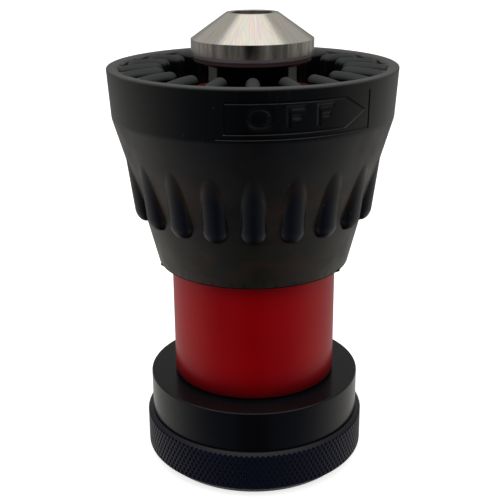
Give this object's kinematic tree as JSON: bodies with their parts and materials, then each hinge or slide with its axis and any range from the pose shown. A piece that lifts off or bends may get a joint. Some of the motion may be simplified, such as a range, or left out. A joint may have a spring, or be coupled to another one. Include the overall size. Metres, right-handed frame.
{
  "type": "fire hose nozzle",
  "caption": "Twist shut-off fog nozzle: knurled swivel coupling, anodised barrel on a helical cam, ribbed rubber bumper with fog teeth, turned baffle on a stem.",
  "frame": {"origin": "on the axis at the coupling's inlet face, which it stands on", "axes": "+Z along the waterway towards the discharge end; -Y is the front, the side that the marking panel's left half faces"},
  "size_m": [0.0792, 0.0792, 0.1303],
  "materials": {
    "black_anodised": "satin black hard anodised",
    "grey_anodised": "matt grey hard anodised",
    "red_anodised": "satin deep red anodised",
    "turned_stainless": "fine turned stainless",
    "steel": "plain stainless",
    "black_rubber": "matt nitrile",
    "bumper_rubber": "matt moulded rubber",
    "seal_rubber": "dark red moulded seal rubber",
    "white_plastic": "PTFE"
  },
  "bodies": {
    "coupling": {"swivel_coupling": "black_anodised", "race_screw": "steel", "swivel_balls": "steel", "hose_gasket": "black_rubber"},
    "nozzle": {"nozzle_body": "grey_anodised", "swivel_o_ring": "black_rubber", "lower_barrel_o_ring": "black_rubber", "upper_barrel_o_ring": "black_rubber", "stem_spider": "grey_anodised", "spider_snap_ring": "steel", "stem": "turned_stainless", "stem_washer": "steel", "stem_nut": "steel", "baffle_seal": "seal_rubber", "seal_retainer": "black_anodised", "baffle": "turned_stainless", "screw_washer": "steel", "baffle_screw": "steel"},
    "guide": {"guide_ring": "white_plastic"},
    "barrel": {"barrel": "red_anodised", "cam_screws": "steel", "bumper_snap_ring": "steel", "bumper": "bumper_rubber"}
  },
  "joints": [
    {"name": "coupling_swivel", "type": "hinge", "parent": "coupling", "child": "nozzle", "pos_m": [0, 0, 0.0206], "axis": [0, 0, 1], "continuous": true},
    {"name": "barrel_travel", "type": "slide", "parent": "nozzle", "child": "guide", "axis": [0, 0, 1], "range_m": [0, 0.009]},
    {"name": "barrel_turn", "type": "hinge", "parent": "guide", "child": "barrel", "pos_m": [0, 0, 0.066], "axis": [0, 0, 1], "range_deg": [0, 180]}
  ],
  "couplings": [
    {"joint": "barrel_travel", "follows": "barrel_turn", "m_per_rad": 0.0028647}
  ]
}
